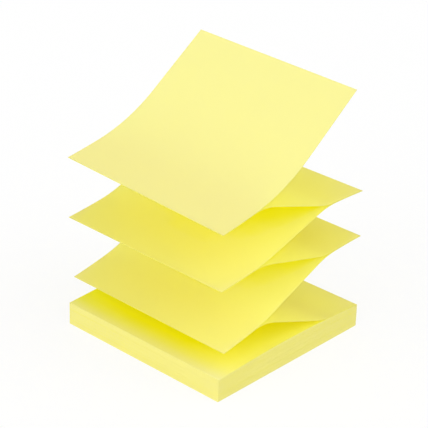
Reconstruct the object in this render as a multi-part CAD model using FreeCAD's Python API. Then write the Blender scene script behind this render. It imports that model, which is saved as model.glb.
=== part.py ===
import FreeCAD
import Part

import math
import os
from collections import namedtuple

# A pad of sticky notes, stuck together along alternate edges like a fan fold.
# The top six notes are drawn up into a zigzag, and the rest lie in the block below.
# X runs across the stuck edges and Y along them: left is -X, right is +X, near is -Y.
# The origin is the middle of the block's underside. Lengths are in mm and slopes in degrees.

NOTE_SIDE = 76.0
PAPER_THICKNESS = 0.095
STUCK_WIDTH = 15.0
BLOCK_NOTES = 94

# The block's stuck strips slope up from its left and right edges, and it puffs up between them.
BLOCK_EDGE_SLOPE = 3.0

# A drawn note bends next to each stuck strip and is straight between its two bends.
# Each bend is a share of the loose stretch between the strips.
LEFT_BEND_SHARE = 0.25
RIGHT_BEND_SHARE = 0.2

# The top note has one strip, then one long bend, and is straight to its free edge.
TOP_BEND_SHARE = 0.5

# A stuck strip is bent as well: its slope is this much less at the fold than at its inner end.
STRIP_CURL = 2.5

# Slopes are positive where the paper rises to the right. The near and far edges of a note
# differ a little, because drawn paper twists.
Slopes = namedtuple("Slopes", "near far")

# From the block up: the slope of each note's straight middle, and of the strip at its upper fold,
# by which it carries the next note. The folds are at the left and at the right in turn.
DrawnNote = namedtuple("DrawnNote", "name middle upper_strip")
DRAWN_NOTES = [
    DrawnNote("note_6", Slopes(-20.5, -21.5), Slopes(11.0, 11.5)),
    DrawnNote("note_5", Slopes(23.5, 23.5), Slopes(3.5, 3.0)),
    DrawnNote("note_4", Slopes(-14.5, -15.0), Slopes(7.0, 7.0)),
    DrawnNote("note_3", Slopes(18.0, 20.0), Slopes(-1.5, -6.5)),
    DrawnNote("note_2", Slopes(-18.0, -20.0), Slopes(10.0, 9.5)),
]
TOP_NOTE_NAME = "note_1"
TOP_NOTE_SLOPES = Slopes(37.0, 35.0)

HALF_NOTE = NOTE_SIDE / 2
HALF_PAPER = PAPER_THICKNESS / 2
BLOCK_EDGE_HEIGHT = BLOCK_NOTES * PAPER_THICKNESS
LEFTWARD = -1

# A turn below this angle, in radians, is drawn as a straight line.
LEAST_TURN = 1e-5

# One stretch of paper seen from the near side. It starts at (x, z) and turns evenly from its start
# slope to its end slope, both in radians. Its way along X is LEFTWARD, or 1 for rightward.
Stretch = namedtuple("Stretch", "x z start end length way")


def spot(stretch, share, lift=0.0):
    """The point at a share of the stretch's length, lifted square to the paper."""
    half_turn = (stretch.end - stretch.start) * share / 2
    chord = stretch.length * share
    if half_turn:
        chord *= math.sin(half_turn) / half_turn
    chord_slope = stretch.start + half_turn
    slope = chord_slope + half_turn
    x = stretch.x + stretch.way * chord * math.cos(chord_slope) - lift * math.sin(slope)
    z = stretch.z + stretch.way * chord * math.sin(chord_slope) + lift * math.cos(slope)
    return x, z


def follow(before, end_slope, length):
    """The stretch that carries on from the end of another one."""
    x, z = spot(before, 1.0)
    return Stretch(x, z, before.end, end_slope, length, before.way)


def lifted(stretch, lift):
    """The same stretch on a parallel line, as in the next sheet above."""
    x, z = spot(stretch, 0.0, lift)
    length = stretch.length - lift * (stretch.end - stretch.start) * stretch.way
    return Stretch(x, z, stretch.start, stretch.end, length, stretch.way)


def turned_back(stretch):
    """The same stretch, run from its other end."""
    x, z = spot(stretch, 1.0)
    return Stretch(x, z, stretch.end, stretch.start, stretch.length, -stretch.way)


def drawn_note_path(seat, middle_slope, strip_slope):
    """Middle line of a drawn note, from the strip on its seat to the strip at its upper fold."""
    first_share, last_share = LEFT_BEND_SHARE, RIGHT_BEND_SHARE
    if seat.way == LEFTWARD:
        first_share, last_share = RIGHT_BEND_SHARE, LEFT_BEND_SHARE
    middle = math.radians(middle_slope)
    inner_slope = math.radians(strip_slope + STRIP_CURL / 2)
    fold_slope = math.radians(strip_slope - STRIP_CURL / 2)
    lower_strip = lifted(seat, HALF_PAPER)
    loose = NOTE_SIDE - lower_strip.length - STUCK_WIDTH
    first_bend = follow(lower_strip, middle, loose * first_share)
    straight = follow(first_bend, middle, loose * (1 - first_share - last_share))
    last_bend = follow(straight, inner_slope, loose * last_share)
    upper_strip = follow(last_bend, fold_slope, STUCK_WIDTH)
    return [lower_strip, first_bend, straight, last_bend, upper_strip]


def top_note_path(seat, free_slope):
    """Middle line of the top note, from the strip on its seat to its free edge."""
    slope = math.radians(free_slope)
    strip = lifted(seat, HALF_PAPER)
    loose = NOTE_SIDE - strip.length
    bend = follow(strip, slope, loose * TOP_BEND_SHARE)
    straight = follow(bend, slope, loose * (1 - TOP_BEND_SHARE))
    return [strip, bend, straight]


def seat_on(path):
    """Where the next note is stuck: the upper face of a note's last strip, from the fold inward."""
    return turned_back(lifted(path[-1], HALF_PAPER))


def line(start, end, y):
    """A straight edge between two points of one section."""
    return Part.makeLine(FreeCAD.Vector(start[0], y, start[1]), FreeCAD.Vector(end[0], y, end[1]))


def surface_edge(stretch, lift, y):
    """The edge along one face of the paper, an arc or a straight line."""
    start, halfway, end = [spot(stretch, share, lift) for share in (0.0, 0.5, 1.0)]
    if abs(stretch.end - stretch.start) < LEAST_TURN:
        return line(start, end, y)
    arc = Part.Arc(*[FreeCAD.Vector(x, y, z) for x, z in (start, halfway, end)])
    return arc.toShape()


def note_section(path, y):
    """Closed outline of a note's cut edge: along the upper face, and back along the lower one."""
    over = [surface_edge(stretch, HALF_PAPER, y) for stretch in path]
    under = [surface_edge(stretch, -HALF_PAPER, y) for stretch in reversed(path)]
    end_cut = line(spot(path[-1], 1.0, HALF_PAPER), spot(path[-1], 1.0, -HALF_PAPER), y)
    start_cut = line(spot(path[0], 0.0, -HALF_PAPER), spot(path[0], 0.0, HALF_PAPER), y)
    return Part.Wire(over + [end_cut] + under + [start_cut])


def note_solid(near_path, far_path):
    """A bent sheet: straight lines join its near section to its far one."""
    sections = [note_section(near_path, -HALF_NOTE), note_section(far_path, HALF_NOTE)]
    return Part.makeLoft(sections, True, True)


def block_top_path():
    """Top line of the block, from its right edge to its left edge."""
    slope = math.radians(BLOCK_EDGE_SLOPE)
    right_strip = Stretch(HALF_NOTE, BLOCK_EDGE_HEIGHT, -slope, -slope, STUCK_WIDTH, LEFTWARD)
    puffed = follow(right_strip, slope, NOTE_SIDE - 2 * STUCK_WIDTH)
    left_strip = follow(puffed, slope, STUCK_WIDTH)
    return [right_strip, puffed, left_strip]


def block_solid():
    """The notes that are still in the block, as one solid with a flat underside."""
    top = block_top_path()
    lower_left = (-HALF_NOTE, 0.0)
    lower_right = (HALF_NOTE, 0.0)
    edges = [line(lower_left, lower_right, -HALF_NOTE)]
    edges.append(line(lower_right, spot(top[0], 0.0), -HALF_NOTE))
    edges += [surface_edge(stretch, 0.0, -HALF_NOTE) for stretch in top]
    edges.append(line(spot(top[-1], 1.0), lower_left, -HALF_NOTE))
    face = Part.Face(Part.Wire(edges))
    return face.extrude(FreeCAD.Vector(0, NOTE_SIDE, 0))


def pad_solids():
    """Every piece of the pad by its name, from the block up."""
    solids = {"pad_block": block_solid()}
    near_seat = far_seat = block_top_path()[0]
    for note in DRAWN_NOTES:
        near_path = drawn_note_path(near_seat, note.middle.near, note.upper_strip.near)
        far_path = drawn_note_path(far_seat, note.middle.far, note.upper_strip.far)
        solids[note.name] = note_solid(near_path, far_path)
        near_seat, far_seat = seat_on(near_path), seat_on(far_path)
    near_path = top_note_path(near_seat, TOP_NOTE_SLOPES.near)
    far_path = top_note_path(far_seat, TOP_NOTE_SLOPES.far)
    solids[TOP_NOTE_NAME] = note_solid(near_path, far_path)
    return solids


os.makedirs("parts", exist_ok=True)
for name, solid in pad_solids().items():
    solid.exportStep(f"parts/{name}.step")
    box = solid.BoundBox
    print(f"{name}: {solid.Volume:.1f} mm3, from {box.ZMin:.1f} to {box.ZMax:.1f} mm up")
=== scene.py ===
# %% [markdown]
# This is a pad of fan-folded sticky notes. Each note is a square of thin paper, stuck to
# the next one along one edge, at the left and at the right in turn. When the top note is
# pulled, the next ones follow it up in a zigzag, and the rest stay in a flat block.
# The CAD model has the exact shapes. This script makes every piece again with finer
# detail, gives the paper its look, and lights it. The CAD model is loaded first, because
# it is the fixed frame that every piece has to fit.

# %% Load the CAD model
import bmesh
import bpy
import math
from collections import namedtuple
from mathutils import Matrix, Vector
from mathutils.bvhtree import BVHTree


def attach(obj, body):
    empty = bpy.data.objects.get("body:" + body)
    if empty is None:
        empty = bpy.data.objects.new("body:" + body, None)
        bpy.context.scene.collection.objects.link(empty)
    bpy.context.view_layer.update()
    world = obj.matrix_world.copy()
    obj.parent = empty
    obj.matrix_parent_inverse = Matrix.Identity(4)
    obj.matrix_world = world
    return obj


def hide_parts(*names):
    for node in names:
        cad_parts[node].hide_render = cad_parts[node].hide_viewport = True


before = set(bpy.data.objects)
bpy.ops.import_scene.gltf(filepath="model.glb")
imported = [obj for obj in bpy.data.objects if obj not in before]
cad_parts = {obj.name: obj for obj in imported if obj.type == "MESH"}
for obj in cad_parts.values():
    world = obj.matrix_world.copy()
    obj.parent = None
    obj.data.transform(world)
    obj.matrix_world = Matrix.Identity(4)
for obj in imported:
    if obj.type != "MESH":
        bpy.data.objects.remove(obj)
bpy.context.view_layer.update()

print("CAD nodes:", ", ".join(sorted(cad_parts)))

# %% [markdown]
# The camera comes next, because every later choice is judged through it. The photograph
# was taken from the left and the near side, a little above the pad. The angles and the
# lens below are those at which the corners of the CAD model land on the corners in the
# photograph. A long lens from 0.6 m away keeps the sides of the block nearly parallel.

# %% Place the camera
CAMERA_AZIMUTH = math.radians(-47.51)
CAMERA_ELEVATION = math.radians(26.04)
CAMERA_ROLL = math.radians(1.66)
CAMERA_DISTANCE = 0.6
CAMERA_LENS = 135.17
SENSOR_WIDTH = 36.0
AIM_BASE = Vector((0, 0, 0.00893))
AIM_RIGHT = 0.00009
AIM_UP = 0.03347


def camera_axes(azimuth, elevation, roll):
    """The camera's right, up and back directions."""
    back = Vector((math.sin(azimuth) * math.cos(elevation),
                   -math.cos(azimuth) * math.cos(elevation),
                   math.sin(elevation)))
    level_right = Vector((math.cos(azimuth), math.sin(azimuth), 0))
    level_up = back.cross(level_right)
    right = math.cos(roll) * level_right + math.sin(roll) * level_up
    return right, back.cross(right), back


right, up, back = camera_axes(CAMERA_AZIMUTH, CAMERA_ELEVATION, CAMERA_ROLL)
camera_place = AIM_BASE + AIM_RIGHT * right + AIM_UP * up + CAMERA_DISTANCE * back
camera = bpy.data.objects.new("camera", bpy.data.cameras.new("camera"))
camera.data.lens = CAMERA_LENS
camera.data.sensor_width = SENSOR_WIDTH
turn = Matrix((right, up, back)).transposed().to_4x4()
camera.matrix_world = Matrix.Translation(camera_place) @ turn
bpy.context.scene.collection.objects.link(camera)
bpy.context.scene.camera = camera
print("camera at", [round(value, 3) for value in camera_place])

# %% [markdown]
# These are the sizes that the CAD model was drawn from, in metres, with slopes in
# degrees. X runs across the stuck edges and Y along them. A slope is positive where the
# paper rises to the right. The near and the far edge of a note have their own slopes,
# because drawn paper twists a little. Writing the same few numbers here lets the script
# make a note from its rule, instead of copying the CAD model's triangles.

# %% Sizes of the pad
NOTE_SIDE = 0.076
PAPER_THICKNESS = 0.000095
STUCK_WIDTH = 0.015
BLOCK_NOTES = 94
BLOCK_EDGE_SLOPE = 3.0
LEFT_BEND_SHARE = 0.25
RIGHT_BEND_SHARE = 0.2
TOP_BEND_SHARE = 0.5
STRIP_CURL = 2.5

Slopes = namedtuple("Slopes", "near far")
DrawnNote = namedtuple("DrawnNote", "name middle upper_strip")
DRAWN_NOTES = [
    DrawnNote("note_6", Slopes(-20.5, -21.5), Slopes(11.0, 11.5)),
    DrawnNote("note_5", Slopes(23.5, 23.5), Slopes(3.5, 3.0)),
    DrawnNote("note_4", Slopes(-14.5, -15.0), Slopes(7.0, 7.0)),
    DrawnNote("note_3", Slopes(18.0, 20.0), Slopes(-1.5, -6.5)),
    DrawnNote("note_2", Slopes(-18.0, -20.0), Slopes(10.0, 9.5)),
]
TOP_NOTE_NAME = "note_1"
TOP_NOTE_SLOPES = Slopes(37.0, 35.0)

HALF_NOTE = NOTE_SIDE / 2
HALF_PAPER = PAPER_THICKNESS / 2
BLOCK_EDGE_HEIGHT = BLOCK_NOTES * PAPER_THICKNESS
LEFTWARD = -1
RIGHTWARD = 1
print(f"the block's edges are {BLOCK_EDGE_HEIGHT * 1000:.2f} mm high")

# %% [markdown]
# Seen from the near side, a bent note is a thin line of straight stretches and gentle
# arcs. One stretch is enough to describe all of them: it starts at a point, has a length,
# and turns evenly from its start slope to its end slope. The helpers below find a point
# on a stretch, carry on from its end, lift it to the next sheet's middle, or run it from
# its other end.

# %% Stretches of bent paper
Stretch = namedtuple("Stretch", "x z start end length way")


def spot(stretch, share, lift=0.0):
    """The point at a share of the stretch's length, lifted square to the paper."""
    half_turn = (stretch.end - stretch.start) * share / 2
    chord = stretch.length * share
    if half_turn:
        chord *= math.sin(half_turn) / half_turn
    chord_slope = stretch.start + half_turn
    slope = chord_slope + half_turn
    x = stretch.x + stretch.way * chord * math.cos(chord_slope) - lift * math.sin(slope)
    z = stretch.z + stretch.way * chord * math.sin(chord_slope) + lift * math.cos(slope)
    return x, z


def follow(before, end_slope, length):
    """The stretch that carries on from the end of another one."""
    x, z = spot(before, 1.0)
    return Stretch(x, z, before.end, end_slope, length, before.way)


def lifted(stretch, lift):
    """The same stretch on a parallel line, as in the next sheet above."""
    x, z = spot(stretch, 0.0, lift)
    length = stretch.length - lift * (stretch.end - stretch.start) * stretch.way
    return Stretch(x, z, stretch.start, stretch.end, length, stretch.way)


def turned_back(stretch):
    """The same stretch, run from its other end."""
    x, z = spot(stretch, 1.0)
    return Stretch(x, z, stretch.end, stretch.start, stretch.length, -stretch.way)


# %% [markdown]
# Now the zigzag. Each drawn note starts with the strip that is stuck on the note below.
# It bends away from it, runs straight, bends again, and ends in the strip that carries
# the next note. The top note has only one strip, and its other edge is free. The chain
# is worked out twice, for the near edges and for the far ones, from the block up.

# %% Chain the notes from the block up
def drawn_note_path(seat, middle_slope, strip_slope):
    """Middle line of a drawn note, from the strip on its seat to the strip at its upper fold."""
    first_share, last_share = LEFT_BEND_SHARE, RIGHT_BEND_SHARE
    if seat.way == LEFTWARD:
        first_share, last_share = RIGHT_BEND_SHARE, LEFT_BEND_SHARE
    middle = math.radians(middle_slope)
    inner_slope = math.radians(strip_slope + STRIP_CURL / 2)
    fold_slope = math.radians(strip_slope - STRIP_CURL / 2)
    lower_strip = lifted(seat, HALF_PAPER)
    loose = NOTE_SIDE - lower_strip.length - STUCK_WIDTH
    first_bend = follow(lower_strip, middle, loose * first_share)
    straight = follow(first_bend, middle, loose * (1 - first_share - last_share))
    last_bend = follow(straight, inner_slope, loose * last_share)
    upper_strip = follow(last_bend, fold_slope, STUCK_WIDTH)
    return [lower_strip, first_bend, straight, last_bend, upper_strip]


def top_note_path(seat, free_slope):
    """Middle line of the top note, from the strip on its seat to its free edge."""
    slope = math.radians(free_slope)
    strip = lifted(seat, HALF_PAPER)
    loose = NOTE_SIDE - strip.length
    bend = follow(strip, slope, loose * TOP_BEND_SHARE)
    straight = follow(bend, slope, loose * (1 - TOP_BEND_SHARE))
    return [strip, bend, straight]


def block_top_path():
    """Top line of the block, from its right edge to its left edge."""
    slope = math.radians(BLOCK_EDGE_SLOPE)
    right_strip = Stretch(HALF_NOTE, BLOCK_EDGE_HEIGHT, -slope, -slope, STUCK_WIDTH, LEFTWARD)
    puffed = follow(right_strip, slope, NOTE_SIDE - 2 * STUCK_WIDTH)
    left_strip = follow(puffed, slope, STUCK_WIDTH)
    return [right_strip, puffed, left_strip]


def chained_paths(side):
    """Every note's middle line along one side of the pad, "near" or "far", by its name."""
    seat = block_top_path()[0]
    paths = {}
    for note in DRAWN_NOTES:
        path = drawn_note_path(seat, getattr(note.middle, side), getattr(note.upper_strip, side))
        paths[note.name] = path
        seat = turned_back(lifted(path[-1], HALF_PAPER))
    paths[TOP_NOTE_NAME] = top_note_path(seat, getattr(TOP_NOTE_SLOPES, side))
    return paths


near_paths = chained_paths("near")
far_paths = chained_paths("far")
for name, path in near_paths.items():
    length = sum(stretch.length for stretch in path)
    print(f"{name}: {length * 1000:.2f} mm of paper in {len(path)} stretches")

# %% [markdown]
# A stretch that turns evenly is an arc of a circle, and a Bezier curve draws such an arc
# very closely when its handles have the right length, about a third of the arc. So each
# edge of a note becomes a Bezier curve with one point where each stretch ends. Every
# curve runs from left to right, whichever way its note was chained.

# %% Draw the edges as curves
CURVE_STEPS = 24
LEAST_TURN = 1e-6


def left_to_right(path):
    """The same path, run towards the right."""
    if path[0].way == RIGHTWARD:
        return path
    return [turned_back(stretch) for stretch in reversed(path)]


def handle_length(stretch):
    """How long a Bezier handle is for this arc."""
    turn = abs(stretch.end - stretch.start)
    if turn < LEAST_TURN:
        return stretch.length / 3
    return math.tan(turn / 4) * 4 / 3 * stretch.length / turn


def edge_curve(name, path, y):
    """A Bezier curve along a path, at one place along the stuck edges."""
    path = left_to_right(path)
    curve = bpy.data.curves.new(name, "CURVE")
    curve.dimensions = "3D"
    curve.resolution_u = CURVE_STEPS
    spline = curve.splines.new("BEZIER")
    spline.bezier_points.add(len(path))
    ends = [spot(stretch, 0.0) for stretch in path] + [spot(path[-1], 1.0)]
    slopes = [stretch.start for stretch in path] + [path[-1].end]
    handles = [handle_length(stretch) for stretch in path]
    before = [handles[0]] + handles
    after = handles + [handles[-1]]
    for point, (x, z), slope, back_length, front_length in zip(
            spline.bezier_points, ends, slopes, before, after):
        place = Vector((x, y, z))
        ahead = Vector((math.cos(slope), 0, math.sin(slope)))
        point.handle_left_type = "FREE"
        point.handle_right_type = "FREE"
        point.co = place
        point.handle_left = place - ahead * back_length
        point.handle_right = place + ahead * front_length
    made = bpy.data.objects.new(name, curve)
    bpy.context.scene.collection.objects.link(made)
    return made


near_edges = {}
far_edges = {}
for name in near_paths:
    near_edges[name] = edge_curve(f"near_edge_{name}", near_paths[name], -HALF_NOTE)
    far_edges[name] = edge_curve(f"far_edge_{name}", far_paths[name], HALF_NOTE)
block_top_edge = edge_curve("block_top_edge", block_top_path(), 0.0)
print(f"{len(near_edges) + len(far_edges) + 1} edge curves")

# %% [markdown]
# Geometry Nodes fit these notes well, because they all follow one rule: a sheet that is
# stretched between two edge curves. The next cells have small helpers for building a node
# tree in code. The first ones add a named input, add a node and join it up, and work with
# numbers, vectors, colours and shaders. They keep each tree below about as short as its
# description in words.

# %% Helpers for any node tree
def add_input(tree, name, kind, value=None):
    """Give a node tree a named input, with its usual value."""
    socket = tree.interface.new_socket(name, in_out="INPUT", socket_type=f"NodeSocket{kind}")
    if value is not None:
        socket.default_value = value


def feed(tree, sockets, sources):
    """Feed sockets, by name or number, from other nodes' outputs or from plain values."""
    for key, source in sources.items():
        if isinstance(source, bpy.types.NodeSocket):
            tree.links.new(source, sockets[key])
        else:
            sockets[key].default_value = source


def add_node(tree, kind, inputs=None, **options):
    """Add a node, set its options, and feed its inputs."""
    made = tree.nodes.new(kind)
    for option, value in options.items():
        setattr(made, option, value)
    feed(tree, made.inputs, inputs or {})
    return made


def sum_of(tree, operation, *values):
    """The result of a Math node."""
    inputs = dict(enumerate(values))
    return add_node(tree, "ShaderNodeMath", inputs, operation=operation).outputs[0]


def vector_sum(tree, operation, *values):
    """The result of a Vector Math node, for those that give a vector."""
    inputs = dict(enumerate(values))
    return add_node(tree, "ShaderNodeVectorMath", inputs, operation=operation).outputs[0]


def scaled(tree, vector, factor):
    """A vector made longer or shorter."""
    inputs = {"Vector": vector, "Scale": factor}
    return add_node(tree, "ShaderNodeVectorMath", inputs, operation="SCALE").outputs[0]


def joined_up(tree, **parts):
    """A vector from its X, Y and Z."""
    return add_node(tree, "ShaderNodeCombineXYZ", parts).outputs[0]


def taken_apart(tree, vector):
    """A vector's X, Y and Z."""
    return add_node(tree, "ShaderNodeSeparateXYZ", {0: vector}).outputs


def between(tree, kind, factor, start, end):
    """A point ("Vector") or a colour ("Color") between two others."""
    data_type = {"Vector": "VECTOR", "Color": "RGBA"}[kind]
    mix = add_node(tree, "ShaderNodeMix", data_type=data_type)
    sockets = {socket.identifier: socket for socket in [*mix.inputs, *mix.outputs]}
    feed(tree, sockets, {"Factor_Float": factor, f"A_{kind}": start, f"B_{kind}": end})
    return sockets[f"Result_{kind}"]


def eased(tree, value, start, end):
    """0 below the start and 1 past the end, with a soft step between."""
    inputs = {"Value": value, "From Min": start, "From Max": end}
    step = add_node(tree, "ShaderNodeMapRange", inputs, interpolation_type="SMOOTHSTEP")
    return step.outputs["Result"]


def mixed(tree, share, first, second):
    """Two shader nodes mixed into one shader."""
    inputs = {0: share, 1: first.outputs[0], 2: second.outputs[0]}
    return add_node(tree, "ShaderNodeMixShader", inputs).outputs[0]


# %% [markdown]
# These helpers are for the trees that make a mesh. A mark is a value that the mesh
# carries under a name, at each of its points, faces or corners. A guide is one of the
# edge curves. Every sheet of paper here starts as the same flat box, one cell thick.

# %% Helpers for trees that make a mesh
def new_mesh_tree(name, inputs):
    """A node tree with these named inputs. Returns it with the sockets that they give."""
    tree = bpy.data.node_groups.new(name, "GeometryNodeTree")
    for title, (kind, value) in inputs.items():
        add_input(tree, title, kind, value)
    tree.interface.new_socket("Geometry", in_out="OUTPUT", socket_type="NodeSocketGeometry")
    return tree, tree.nodes.new("NodeGroupInput").outputs


def give_out(tree, mesh):
    """End a tree with the mesh that it gives out."""
    out = tree.nodes.new("NodeGroupOutput")
    feed(tree, out.inputs, {0: mesh})


def read_mark(tree, name):
    """A number that the mesh carries under this name."""
    inputs = {"Name": name}
    return add_node(tree, "GeometryNodeInputNamedAttribute", inputs, data_type="FLOAT").outputs[0]


def stored_mark(tree, mesh, name, value, domain, kind="FLOAT"):
    """The mesh with a mark stored on its points, faces, corners or copies."""
    inputs = {"Geometry": mesh, "Name": name, "Value": value}
    options = {"data_type": kind, "domain": domain}
    return add_node(tree, "GeometryNodeStoreNamedAttribute", inputs, **options).outputs[0]


def own_place(tree):
    """The X, Y and Z of each point."""
    return taken_apart(tree, tree.nodes.new("GeometryNodeInputPosition").outputs[0])


def along_guide(tree, guide, share):
    """The place and direction at a share of a guide curve's length."""
    shape = add_node(tree, "GeometryNodeObjectInfo", {"Object": guide}).outputs["Geometry"]
    inputs = {"Curves": shape, "Factor": share}
    options = {"mode": "FACTOR", "use_all_curves": True}
    return add_node(tree, "GeometryNodeSampleCurve", inputs, **options).outputs


def flat_box(tree, given):
    """A box with sides of 1, cut into cells along and across, and one cell thick."""
    return add_node(tree, "GeometryNodeMeshCube", {
        "Size": (1, 1, 1),
        "Vertices X": sum_of(tree, "ADD", given["Cells along"], 1.0),
        "Vertices Y": sum_of(tree, "ADD", given["Cells across"], 1.0),
        "Vertices Z": 2}).outputs["Mesh"]


# %% [markdown]
# The drawn note and the leaf in the block end alike too. The faces that stand upright in
# the flat box are the cut edges, so they are marked while the box is still flat. The
# paper is also mapped in metres for its fibres, and its rim is marked sharp. Without
# that, the renderer would shade the sheet as if it curved over into its cut edge, and
# every note would have a dark border.

# %% Mark the cut edges and finish the paper
UPRIGHT_FACE = 0.5
CUT_FACE = 0.5
RIM = 0.25


def marked_and_finished(tree, mesh, map_place, paper):
    """Mark the cut edges, map the sheet, smooth its faces up to a crisp rim, and finish it."""
    normal = tree.nodes.new("GeometryNodeInputNormal").outputs["Normal"]
    flatness = sum_of(tree, "ABSOLUTE", taken_apart(tree, normal)["Z"])
    is_cut = sum_of(tree, "LESS_THAN", flatness, UPRIGHT_FACE)
    marked = stored_mark(tree, mesh, "cut_edge", is_cut, "FACE")
    mapped = stored_mark(tree, marked, "paper_map", map_place, "CORNER", kind="FLOAT2")
    cut = read_mark(tree, "cut_edge")
    is_face = sum_of(tree, "LESS_THAN", cut, CUT_FACE)
    smooth = add_node(tree, "GeometryNodeSetShadeSmooth", {
        "Geometry": mapped, "Selection": is_face, "Shade Smooth": True},
        domain="FACE").outputs[0]
    # An edge reads the mean of its two faces' marks, which is a half along the rim.
    is_rim = sum_of(tree, "GREATER_THAN", cut, RIM)
    crisp = add_node(tree, "GeometryNodeSetShadeSmooth", {
        "Geometry": smooth, "Selection": is_rim, "Shade Smooth": False},
        domain="EDGE").outputs[0]
    inputs = {"Geometry": crisp, "Material": paper}
    return add_node(tree, "GeometryNodeSetMaterial", inputs).outputs[0]


# %% [markdown]
# Now the sheet itself. Every point of the flat box is moved: its place along and across
# picks a point between the two edge curves, and its height in the box puts it on the
# upper or the lower face of the paper. A box is closed from the start, so the sheet needs
# no welding. Real paper is never quite even, so the loose part gets ripples of a few
# hundredths of a millimetre. They fade out towards the stuck strips, which stay flat.

# %% Build the tree for a bent sheet
RIPPLE_FADE = 0.014


def away_from_strip(tree, distance, strip):
    """0 on a stuck strip, and 1 well away from it."""
    return eased(tree, distance, strip, sum_of(tree, "ADD", strip, RIPPLE_FADE))


def ripples(tree, given, map_place, loose):
    """How far the ripples lift the paper."""
    noise = add_node(tree, "ShaderNodeTexNoise", {
        "Vector": map_place, "W": given["Seed"], "Detail": 1.0,
        "Scale": sum_of(tree, "DIVIDE", 1.0, given["Ripple size"])},
        noise_dimensions="4D").outputs["Fac"]
    lift = sum_of(tree, "MULTIPLY", sum_of(tree, "SUBTRACT", noise, 0.5), given["Ripple height"])
    return sum_of(tree, "MULTIPLY", lift, loose)


def bent_sheet_tree():
    """A node tree that stretches a thin closed sheet between two edge curves."""
    tree, given = new_mesh_tree("Bent sheet", {
        "Near edge": ("Object", None),
        "Far edge": ("Object", None),
        "Cells along": ("Int", 96),
        "Cells across": ("Int", 48),
        "Side": ("Float", NOTE_SIDE),
        "Paper thickness": ("Float", PAPER_THICKNESS),
        "Left strip": ("Float", STUCK_WIDTH),
        "Right strip": ("Float", STUCK_WIDTH),
        "Ripple height": ("Float", 0.0002),
        "Ripple size": ("Float", 0.03),
        "Seed": ("Float", 1.0),
        "Paper": ("Material", None)})
    box = flat_box(tree, given)
    place = own_place(tree)
    along = sum_of(tree, "ADD", place["X"], 0.5)
    across = sum_of(tree, "ADD", place["Y"], 0.5)

    near = along_guide(tree, given["Near edge"], along)
    far = along_guide(tree, given["Far edge"], along)
    middle = between(tree, "Vector", across, near["Position"], far["Position"])
    ahead = between(tree, "Vector", across, near["Tangent"], far["Tangent"])
    sideways = vector_sum(tree, "SUBTRACT", far["Position"], near["Position"])
    upward = vector_sum(tree, "NORMALIZE", vector_sum(tree, "CROSS_PRODUCT", ahead, sideways))

    from_left = sum_of(tree, "MULTIPLY", along, given["Side"])
    from_right = sum_of(tree, "SUBTRACT", given["Side"], from_left)
    from_near = sum_of(tree, "MULTIPLY", across, given["Side"])
    map_place = joined_up(tree, X=from_left, Y=from_near)
    loose = sum_of(
        tree, "MULTIPLY",
        away_from_strip(tree, from_left, given["Left strip"]),
        away_from_strip(tree, from_right, given["Right strip"]))
    ripple = ripples(tree, given, map_place, loose)
    height = sum_of(tree, "MULTIPLY_ADD", place["Z"], given["Paper thickness"], ripple)

    finished = marked_and_finished(tree, box, map_place, given["Paper"])
    bent_place = vector_sum(tree, "ADD", middle, scaled(tree, upward, height))
    inputs = {"Geometry": finished, "Position": bent_place}
    give_out(tree, add_node(tree, "GeometryNodeSetPosition", inputs).outputs[0])
    return tree


bent_sheet = bent_sheet_tree()
print(f"the bent sheet tree has {len(bent_sheet.nodes)} nodes")

# %% [markdown]
# A finish comes before the pieces, because the trees hand it on. Real note paper is
# uncoated: a mat of short fibres, soft to look at, with hardly any shine. Its tone drifts
# a little from place to place. One small group of shader nodes makes both effects from
# noise, at sizes in metres. It is a group, because the single notes and the block share
# it, and each finish sets the group's sizes for itself.

# %% Paper fibres, shared by both finishes
NOISE_ROUGHNESS = 0.55


def paper_fibre_group():
    """Shader nodes for uncoated paper: a slow drift of tone, and the relief of its fibres."""
    group = bpy.data.node_groups.new("Paper fibres", "ShaderNodeTree")
    add_input(group, "Place", "Vector")
    add_input(group, "Fibre size", "Float", 0.0006)
    add_input(group, "Drift size", "Float", 0.012)
    for name in ("Drift", "Relief"):
        group.interface.new_socket(name, in_out="OUTPUT", socket_type="NodeSocketFloat")
    given = group.nodes.new("NodeGroupInput").outputs
    out = group.nodes.new("NodeGroupOutput")
    for name, size, detail in (("Drift", "Drift size", 2.0), ("Relief", "Fibre size", 3.0)):
        place = scaled(group, given["Place"], sum_of(group, "DIVIDE", 1.0, given[size]))
        noise = add_node(group, "ShaderNodeTexNoise", {
            "Vector": place, "Scale": 1.0, "Detail": detail, "Roughness": NOISE_ROUGHNESS})
        feed(group, out.inputs, {name: noise.outputs["Fac"]})
    return group


paper_fibres = paper_fibre_group()
print("paper fibre group:", [item.name for item in paper_fibres.interface.items_tree])
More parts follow.
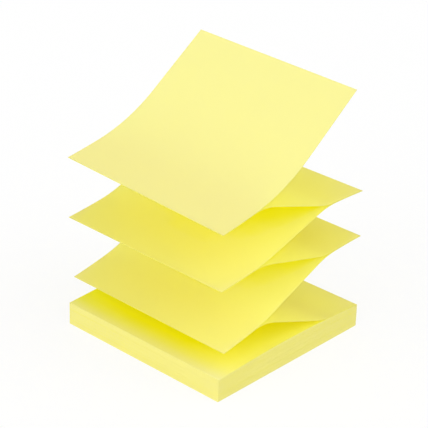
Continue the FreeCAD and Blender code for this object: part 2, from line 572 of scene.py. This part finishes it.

# %% [markdown]
# The notes are pale yellow. Where two notes face each other, light bounces between them,
# and each bounce takes out more of its blue, so the paper looks a deeper yellow there. On
# top of that, the colour itself is painted with light and shade. A later step marks how
# open every spot is, and the finish reads that mark: a lighter painted colour where a spot
# sees most of the sky, painted shade between two notes, and painted deep shade with no blue
# at all deep in a pocket. Light that comes through thin paper is a deep yellow as well, so
# the note paper mixes a matt surface with a translucent one, but not at its cut edges. The
# block is too thick to let any light through, so its finish is the matt surface alone.

# %% The two paper finishes, with painted light and shade
# The open colour is painted light, and the shaded and the pocket colours are painted shade.
PaperFinishAndPaintedShade = namedtuple(
    "PaperFinishAndPaintedShade", "open shaded pocket cut pocket_marks fibre_size drift_size")
# The notes' cut colour is darker than their faces: partly the paper's own edge tone, partly
# painted shade on its thin cut edges.
NOTE_FINISH_AND_PAINTED_SHADE = PaperFinishAndPaintedShade(
    open=(0.98, 0.953, 0.60, 1), shaded=(0.985, 0.978, 0.42, 1),
    pocket=(0.98, 0.965, 0.0, 1), cut=(0.79, 0.755, 0.13, 1),
    pocket_marks=(0.13, 0.31), fibre_size=0.0006, drift_size=0.012)
STACK_FINISH_AND_PAINTED_SHADE = PaperFinishAndPaintedShade(
    open=(0.895, 0.85, 0.50, 1), shaded=(0.895, 0.85, 0.50, 1),
    pocket=(0.935, 0.905, 0.0, 1), cut=(0.87, 0.815, 0.275, 1),
    pocket_marks=(0.42, 1.0), fibre_size=0.0006, drift_size=0.012)
THROUGH_YELLOW = (0.985, 0.96, 0.02, 1)
LIGHT_THROUGH = 0.5
PAINTED_LIGHT_START = 0.6
DRIFT_SHARE = 0.06
MATT_ROUGHNESS = 0.88
FAINT_SHINE = 0.25
FIBRE_HEIGHT = 0.00003
FIBRE_STRENGTH = 0.25


def seen_mark(tree, name):
    """A mark on the mesh, as a material reads it."""
    return add_node(tree, "ShaderNodeAttribute", attribute_name=name).outputs["Fac"]


def colour_with_painted_shade(tree, finish_and_shade, drift, cut):
    """The paper's colour, painted lighter or in shade by how open each spot is, and on cut edges.
    """
    openness = seen_mark(tree, "openness")
    drift = sum_of(tree, "MULTIPLY", drift, DRIFT_SHARE)
    painted_light_share = sum_of(tree, "SUBTRACT", eased(tree, openness, PAINTED_LIGHT_START, 1.0), drift)
    deepest, shallowest = finish_and_shade.pocket_marks
    out_of_painted_deep_shade = add_node(tree, "ShaderNodeMapRange", {
        "Value": openness, "From Min": deepest, "From Max": shallowest}).outputs["Result"]
    colour = between(tree, "Color", painted_light_share, finish_and_shade.shaded, finish_and_shade.open)
    colour = between(tree, "Color", out_of_painted_deep_shade, finish_and_shade.pocket, colour)
    return between(tree, "Color", cut, colour, finish_and_shade.cut)


def paper_material(name, finish_and_shade, place_kind, thin):
    """A matt paper material. Thin paper lets light through, but not at its cut edges."""
    material = bpy.data.materials.new(name)
    material.use_nodes = True
    tree = material.node_tree
    if place_kind == "map":
        place = add_node(tree, "ShaderNodeUVMap", uv_map="paper_map").outputs[0]
    else:
        place = tree.nodes.new("ShaderNodeTexCoord").outputs["Object"]
    fibres = add_node(tree, "ShaderNodeGroup", {
        "Place": place, "Fibre size": finish_and_shade.fibre_size, "Drift size": finish_and_shade.drift_size},
        node_tree=paper_fibres).outputs
    cut = seen_mark(tree, "cut_edge")
    bump = add_node(tree, "ShaderNodeBump", {
        "Strength": FIBRE_STRENGTH, "Distance": FIBRE_HEIGHT, "Height": fibres["Relief"]})
    matt = tree.nodes["Principled BSDF"]
    # The base colour carries the painted light and shade from the openness mark.
    feed(tree, matt.inputs, {
        "Base Color": colour_with_painted_shade(tree, finish_and_shade, fibres["Drift"], cut),
        "Roughness": MATT_ROUGHNESS,
        "Specular IOR Level": FAINT_SHINE,
        "Normal": bump.outputs[0]})
    if thin:
        away_from_cut = sum_of(tree, "SUBTRACT", 1.0, cut)
        share = sum_of(tree, "MULTIPLY", away_from_cut, LIGHT_THROUGH)
        through = add_node(tree, "ShaderNodeBsdfTranslucent", {"Color": THROUGH_YELLOW})
        out = tree.nodes["Material Output"]
        feed(tree, out.inputs, {"Surface": mixed(tree, share, matt, through)})
    return material


note_paper = paper_material("note_paper", NOTE_FINISH_AND_PAINTED_SHADE, "map", thin=True)
stacked_paper = paper_material("stacked_paper", STACK_FINISH_AND_PAINTED_SHADE, "object", thin=False)
print("finishes:", note_paper.name, stacked_paper.name)

# %% [markdown]
# Baking turns a node tree's result into a plain mesh, which is what a game, a printer or
# a simulator can read. The tree runs as a modifier on an empty mesh. Its inputs are set
# by each socket's identifier, and the finished mesh then takes the empty one's place.

# %% Bake a tree into a plain mesh
def new_piece(name):
    """An object with an empty mesh, for a node tree to fill."""
    piece = bpy.data.objects.new(name, bpy.data.meshes.new(name))
    bpy.context.scene.collection.objects.link(piece)
    return piece


def bake(piece, tree, settings):
    """Run a node tree on a piece with these settings, and keep the result as its plain mesh."""
    modifier = piece.modifiers.new("Made by nodes", "NODES")
    modifier.node_group = tree
    for item in tree.interface.items_tree:
        if item.in_out == "INPUT" and item.name in settings:
            modifier[item.identifier] = settings[item.name]
    evaluated = piece.evaluated_get(bpy.context.evaluated_depsgraph_get())
    mesh = bpy.data.meshes.new_from_object(evaluated)
    piece.modifiers.remove(modifier)
    piece.data = mesh
    mesh.name = piece.name


def triangles_in(piece):
    """How many triangles a piece has."""
    return sum(len(face.vertices) - 2 for face in piece.data.polygons)


# %% [markdown]
# Each note is the same sheet with its own edge curves and its own seed, so that no two
# ripple alike. The top note's right edge is free, so its right strip is set back past
# the edge, and the ripples run all the way out to it.

# %% Make the six drawn notes
FREE_EDGE = -0.02
FIRST_SEED = 3.0
SEED_STEP = 7.3

notes = {}
for number, name in enumerate(near_paths):
    notes[name] = new_piece(f"paper_{name}")
    bake(notes[name], bent_sheet, {
        "Near edge": near_edges[name],
        "Far edge": far_edges[name],
        "Right strip": FREE_EDGE if name == TOP_NOTE_NAME else STUCK_WIDTH,
        "Seed": FIRST_SEED + SEED_STEP * number,
        "Paper": note_paper})
    print(f"{name}: {triangles_in(notes[name])} triangles")

# %% [markdown]
# The block is the 94 notes that nobody has pulled yet. A plain slab would do from far
# away, but close up its sides show the cut edges of the leaves. So a second tree makes
# one flat leaf and repeats it up a ladder, where each copy takes its number as a mark.
# The number then says how high in the block each face of the leaf lies. A thin gap under
# every leaf but the lowest keeps it apart from the one below.

# %% Number the leaves
LADDER_STEP = 2.0


def numbered_leaves(tree, given):
    """Flat leaves, one to each step of a ladder, that carry their number as a mark."""
    inputs = {"Count": given["Leaves"], "Offset": (0, 0, LADDER_STEP)}
    ladder = add_node(tree, "GeometryNodeMeshLine", inputs).outputs[0]
    inputs = {"Points": ladder, "Instance": flat_box(tree, given)}
    copies = add_node(tree, "GeometryNodeInstanceOnPoints", inputs).outputs[0]
    number = tree.nodes.new("GeometryNodeInputIndex").outputs[0]
    numbered = stored_mark(tree, copies, "leaf_number", number, "INSTANCE")
    return add_node(tree, "GeometryNodeRealizeInstances", {"Geometry": numbered}).outputs[0]


def share_of_height(tree, given, number, place_in_leaf):
    """Where a leaf's upper or lower face lies in the block, from 0 at the floor to 1."""
    is_under = sum_of(tree, "LESS_THAN", place_in_leaf, 0.0)
    gap = sum_of(tree, "MULTIPLY", given["Gap share"], sum_of(tree, "GREATER_THAN", number, 0.5))
    level = sum_of(tree, "ADD", number, sum_of(tree, "SUBTRACT", 1.0, is_under))
    level = sum_of(tree, "ADD", level, sum_of(tree, "MULTIPLY", gap, is_under))
    return sum_of(tree, "DIVIDE", level, given["Leaves"])


# %% [markdown]
# Loose paper doesn't lie evenly between its stuck edges. So slow noise moves the leaves
# up or down a little, and they crowd together more in some places than in others. The
# block's underside, its top and its left and right edges stay where they are.

# %% Let the leaves crowd together
CROWDS_PER_SIDE = 2.5
CROWDS_PER_HEIGHT = 9.0
HELD_SHARE = 0.02
LOOSE_SHARE = 0.35
FULL_AT_MID_HEIGHT = 4.0


def crowded(tree, given, share, along, across):
    """The same share of the height, moved up or down a little where the leaves crowd."""
    noise_place = joined_up(
        tree,
        X=sum_of(tree, "MULTIPLY", along, CROWDS_PER_SIDE),
        Y=sum_of(tree, "MULTIPLY", across, CROWDS_PER_SIDE),
        Z=sum_of(tree, "MULTIPLY", share, CROWDS_PER_HEIGHT))
    inputs = {"Vector": noise_place, "Scale": 1.0, "Detail": 1.0}
    noise = add_node(tree, "ShaderNodeTexNoise", inputs).outputs["Fac"]
    crowd = sum_of(tree, "MULTIPLY", sum_of(tree, "SUBTRACT", noise, 0.5), given["Crowding"])
    inside = sum_of(tree, "MULTIPLY", share, sum_of(tree, "SUBTRACT", 1.0, share))
    from_right = sum_of(tree, "SUBTRACT", 1.0, along)
    loose = sum_of(
        tree, "MULTIPLY",
        eased(tree, along, HELD_SHARE, LOOSE_SHARE),
        eased(tree, from_right, HELD_SHARE, LOOSE_SHARE))
    crowd = sum_of(tree, "MULTIPLY", sum_of(tree, "MULTIPLY", crowd, inside), loose)
    return sum_of(tree, "ADD", share, sum_of(tree, "MULTIPLY", crowd, FULL_AT_MID_HEIGHT))


# %% [markdown]
# The tree for the block puts these together. The leaves fan out evenly from the flat
# bottom one to the puffed top one, crowd as above, and each strays a few hundredths of a
# millimetre to the side, as leaves in a real block do.

# %% Build the tree for the stacked leaves
def leaf_stack_tree():
    """A node tree that stacks leaves between the flat floor and the block's top line."""
    tree, given = new_mesh_tree("Leaf stack", {
        "Top edge": ("Object", None),
        "Leaves": ("Int", BLOCK_NOTES),
        "Cells along": ("Int", 30),
        "Cells across": ("Int", 3),
        "Side": ("Float", NOTE_SIDE),
        "Gap share": ("Float", 0.12),
        "Stray": ("Float", 0.00004),
        "Crowding": ("Float", 0.02),
        "Seed": ("Int", 11),
        "Paper": ("Material", None)})
    leaves = numbered_leaves(tree, given)
    number = read_mark(tree, "leaf_number")
    place = own_place(tree)
    along = sum_of(tree, "ADD", place["X"], 0.5)
    across = sum_of(tree, "ADD", place["Y"], 0.5)
    ladder_height = sum_of(tree, "MULTIPLY", number, LADDER_STEP)
    place_in_leaf = sum_of(tree, "SUBTRACT", place["Z"], ladder_height)
    share = share_of_height(tree, given, number, place_in_leaf)
    raised_share = crowded(tree, given, share, along, across)

    top = along_guide(tree, given["Top edge"], along)["Position"]
    flat = joined_up(tree, X=sum_of(tree, "MULTIPLY", place["X"], given["Side"]))
    middle = between(tree, "Vector", raised_share, flat, top)
    sideways = joined_up(tree, Y=sum_of(tree, "MULTIPLY", place["Y"], given["Side"]))
    neat_place = vector_sum(tree, "ADD", middle, sideways)
    stray = add_node(tree, "FunctionNodeRandomValue", {
        "Min": (-1, -1, 0), "Max": (1, 1, 0), "ID": number, "Seed": given["Seed"]},
        data_type="FLOAT_VECTOR").outputs["Value"]
    leaf_place = vector_sum(tree, "ADD", neat_place, scaled(tree, stray, given["Stray"]))

    map_place = joined_up(
        tree,
        X=sum_of(tree, "MULTIPLY", along, given["Side"]),
        Y=sum_of(tree, "MULTIPLY", across, given["Side"]))
    finished = marked_and_finished(tree, leaves, map_place, given["Paper"])
    inputs = {"Geometry": finished, "Position": leaf_place}
    give_out(tree, add_node(tree, "GeometryNodeSetPosition", inputs).outputs[0])
    return tree


leaf_stack = leaf_stack_tree()
stack = new_piece("paper_stack")
bake(stack, leaf_stack, {"Top edge": block_top_edge, "Paper": stacked_paper})
print(f"block: {triangles_in(stack)} triangles")

# %% [markdown]
# The finish paints its light and shade from how open each spot is. One way to find that is
# the shader's own ambient occlusion, but that is worked out anew in every render, and other
# programs don't have it. So a tree works it out once and stores it on the mesh. From each
# point it sends rays in an even fan over the face, and counts how many get away. The ray's
# turn grows by the golden angle each time, which spreads the rays like the seeds in a
# sunflower.

# %% Send one ray of the fan
GOLDEN_ANGLE = 2.39996
CLEAR_OF_FACE = 0.00003


def ray_of_fan(tree, number, rays):
    """One ray's direction in an even fan about Z."""
    turn = sum_of(tree, "MULTIPLY", number, GOLDEN_ANGLE)
    share = sum_of(tree, "DIVIDE", sum_of(tree, "ADD", number, 0.5), rays)
    lean = sum_of(tree, "SQRT", share)
    return joined_up(
        tree,
        X=sum_of(tree, "MULTIPLY", lean, sum_of(tree, "COSINE", turn)),
        Y=sum_of(tree, "MULTIPLY", lean, sum_of(tree, "SINE", turn)),
        Z=sum_of(tree, "SQRT", sum_of(tree, "SUBTRACT", 1.0, share)))


def gets_away(tree, given, ray):
    """1 where a ray, turned to stand over the face, meets no paper, and 0 where it does."""
    around = add_node(tree, "GeometryNodeObjectInfo", {"Object": given["Paper around"]})
    normal = tree.nodes.new("GeometryNodeInputNormal").outputs["Normal"]
    upright = add_node(
        tree, "FunctionNodeAlignRotationToVector", {"Vector": normal}, axis="Z").outputs[0]
    inputs = {"Vector": ray, "Rotation": upright}
    direction = add_node(tree, "FunctionNodeRotateVector", inputs).outputs[0]
    place = tree.nodes.new("GeometryNodeInputPosition").outputs[0]
    cast = add_node(tree, "GeometryNodeRaycast", {
        "Target Geometry": around.outputs["Geometry"],
        "Source Position": vector_sum(tree, "ADD", place, scaled(tree, normal, CLEAR_OF_FACE)),
        "Ray Direction": direction,
        "Ray Length": given["Reach"]}).outputs
    return sum_of(tree, "SUBTRACT", 1.0, cast["Is Hit"])


# %% [markdown]
# A repeat zone does the same for every ray. It hands the mesh from one turn to the next,
# with the share so far stored on it. A blur along the mesh then takes out the small steps
# between one point and the next.

# %% Build the tree that marks how open each spot is
def openness_tree():
    """A node tree that stores, at each point, the share of rays that meet no paper."""
    tree, given = new_mesh_tree("Openness", {
        "Geometry": ("Geometry", None),
        "Paper around": ("Object", None),
        "Rays": ("Int", 64),
        "Reach": ("Float", 0.3),
        "Blur steps": ("Int", 2)})
    each_ray = tree.nodes.new("GeometryNodeRepeatInput")
    last_ray = tree.nodes.new("GeometryNodeRepeatOutput")
    each_ray.pair_with_output(last_ray)
    unmarked = stored_mark(tree, given["Geometry"], "openness", 0.0, "POINT")
    feed(tree, each_ray.inputs, {"Iterations": given["Rays"], "Geometry": unmarked})

    ray = ray_of_fan(tree, each_ray.outputs["Iteration"], given["Rays"])
    added = sum_of(tree, "DIVIDE", gets_away(tree, given, ray), given["Rays"])
    total = sum_of(tree, "ADD", read_mark(tree, "openness"), added)
    marked = stored_mark(tree, each_ray.outputs["Geometry"], "openness", total, "POINT")
    feed(tree, last_ray.inputs, {"Geometry": marked})

    inputs = {"Value": read_mark(tree, "openness"), "Iterations": given["Blur steps"]}
    blur = add_node(tree, "GeometryNodeBlurAttribute", inputs, data_type="FLOAT")
    blurred = blur.outputs["Value"]
    counted = last_ray.outputs["Geometry"]
    give_out(tree, stored_mark(tree, counted, "openness", blurred, "POINT"))
    return tree


openness = openness_tree()
print(f"the openness tree has {len(openness.nodes)} nodes")

# %% [markdown]
# The rays have to meet all the paper at once, so one helper object holds copies of every
# piece. Then each piece is marked in turn.

# %% Mark every piece
def joined_copy(name, pieces):
    """One helper object that holds copies of all these pieces."""
    shape = bmesh.new()
    for piece in pieces:
        shape.from_mesh(piece.data)
    copy = new_piece(name)
    shape.to_mesh(copy.data)
    shape.free()
    return copy


all_paper = joined_copy("all_paper", [*notes.values(), stack])
for piece in [*notes.values(), stack]:
    bake(piece, openness, {"Paper around": all_paper})
    marks = [mark.value for mark in piece.data.attributes["openness"].data]
    print(f"{piece.name}: open from {min(marks):.2f} to {max(marks):.2f}")

# %% [markdown]
# The edge curves and the joined copy have done their work, so they go. Every piece then
# rides on a body, and the CAD node that it stands for is hidden. A pad of paper has no
# joints, so there is only one body, the root.

# %% Tie the pieces to the CAD model
for guide in [*near_edges.values(), *far_edges.values(), block_top_edge, all_paper]:
    bpy.data.objects.remove(guide)

for name, piece in notes.items():
    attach(piece, "root")
    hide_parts(name)
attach(stack, "root")
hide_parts("pad_block")
print(f"{len(notes) + 1} pieces ride on the root")

# %% [markdown]
# The pad lies on a white table with a white background. Its shadow is hardly seen in the
# photograph. So to the camera the floor is mostly plain white, with a fifth of real card
# mixed in, which keeps a faint shadow without more light on the pad. To everything else it
# is white card alone, which throws light back up at the pad's sides.

# %% Lay the floor
FLOOR_SIDE = 3.0
FLOOR_WHITE = 1.04
FLOOR_WHITE_SHARE = 0.8
CARD_COLOUR = (0.85, 0.85, 0.85, 1)
CARD_ROUGHNESS = 0.9
CARD_SHINE = 0.2

half = FLOOR_SIDE / 2
corners = [(-half, -half, 0), (half, -half, 0), (half, half, 0), (-half, half, 0)]
floor_mesh = bpy.data.meshes.new("floor")
floor_mesh.from_pydata(corners, [], [(0, 1, 2, 3)])
floor = bpy.data.objects.new("floor", floor_mesh)
bpy.context.scene.collection.objects.link(floor)
white_card = bpy.data.materials.new("white_card")
white_card.use_nodes = True
tree = white_card.node_tree
card = tree.nodes["Principled BSDF"]
feed(tree, card.inputs, {
    "Base Color": CARD_COLOUR, "Roughness": CARD_ROUGHNESS, "Specular IOR Level": CARD_SHINE})
white = add_node(tree, "ShaderNodeEmission", {"Strength": FLOOR_WHITE})
rays = tree.nodes.new("ShaderNodeLightPath")
white_share = sum_of(tree, "MULTIPLY", rays.outputs["Is Camera Ray"], FLOOR_WHITE_SHARE)
seen = mixed(tree, white_share, card, white)
feed(tree, tree.nodes["Material Output"].inputs, {"Surface": seen})
floor_mesh.materials.append(white_card)
print("floor laid")

# %% [markdown]
# Product photographs like this one are lit from all round, so that hardly any shadow
# shows. The world is a white dome with an even level. Two wide soft patches of it are
# brighter: one above the near side, to the right of the camera, and a low one at the
# pad's left, to the left of the camera. So the drawn notes are a little lighter towards
# their near edges, as in the photograph.

# %% Light the pad
EVEN_LEVEL = 0.6
FRONT_LEVEL = 1.4
FRONT_AZIMUTH = -67.0
FRONT_ELEVATION = 38.0
LEFT_LEVEL = 2.5
LEFT_AZIMUTH = 168.0
LEFT_ELEVATION = 10.0
PATCH_FOCUS = 6.0
PAPER_BOUNCES = 24


def soft_patch(tree, direction, azimuth, elevation, level):
    """A bright patch of the dome, brightest at its middle. Its place is given in degrees."""
    turn = math.radians(azimuth)
    rise = math.radians(elevation)
    middle = (math.cos(turn) * math.cos(rise), math.sin(turn) * math.cos(rise), math.sin(rise))
    inputs = {0: direction, 1: middle}
    product = add_node(tree, "ShaderNodeVectorMath", inputs, operation="DOT_PRODUCT")
    facing = sum_of(tree, "MAXIMUM", product.outputs["Value"], 0.0)
    return sum_of(tree, "MULTIPLY", sum_of(tree, "POWER", facing, PATCH_FOCUS), level)


world = bpy.data.worlds.new("white_dome")
bpy.context.scene.world = world
world.use_nodes = True
tree = world.node_tree
tree.nodes.clear()
rays = tree.nodes.new("ShaderNodeLightPath")
direction = tree.nodes.new("ShaderNodeTexCoord").outputs["Generated"]
front = soft_patch(tree, direction, FRONT_AZIMUTH, FRONT_ELEVATION, FRONT_LEVEL)
left = soft_patch(tree, direction, LEFT_AZIMUTH, LEFT_ELEVATION, LEFT_LEVEL)
level = sum_of(tree, "ADD", sum_of(tree, "ADD", front, left), EVEN_LEVEL)
dome = add_node(tree, "ShaderNodeBackground", {"Color": (1, 1, 1, 1), "Strength": level})
backdrop = add_node(tree, "ShaderNodeBackground", {"Color": (1, 1, 1, 1), "Strength": 1.0})
out = tree.nodes.new("ShaderNodeOutputWorld")
choice = mixed(tree, rays.outputs["Is Camera Ray"], dome, backdrop)
feed(tree, out.inputs, {"Surface": choice})
scene = bpy.context.scene
scene.view_settings.view_transform = "Standard"
scene.cycles.max_bounces = PAPER_BOUNCES
scene.cycles.diffuse_bounces = PAPER_BOUNCES
scene.cycles.transmission_bounces = PAPER_BOUNCES
print("dome set")

# %% [markdown]
# Last come the measurements. Each drawn note is compared with the CAD solid that it
# stands for: the distance from its points to that solid should be about the height of
# the ripples.

# %% Measure against the CAD model
def furthest_from_node(piece, node):
    """The greatest distance from a piece's points to its CAD node."""
    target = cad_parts[node].data
    places = [vertex.co for vertex in target.vertices]
    tree = BVHTree.FromPolygons(places, [face.vertices for face in target.polygons])
    return max(tree.find_nearest(vertex.co)[3] for vertex in piece.data.vertices)


for name, piece in notes.items():
    print(f"{name}: at most {furthest_from_node(piece, name) * 1000:.2f} mm from its CAD node")
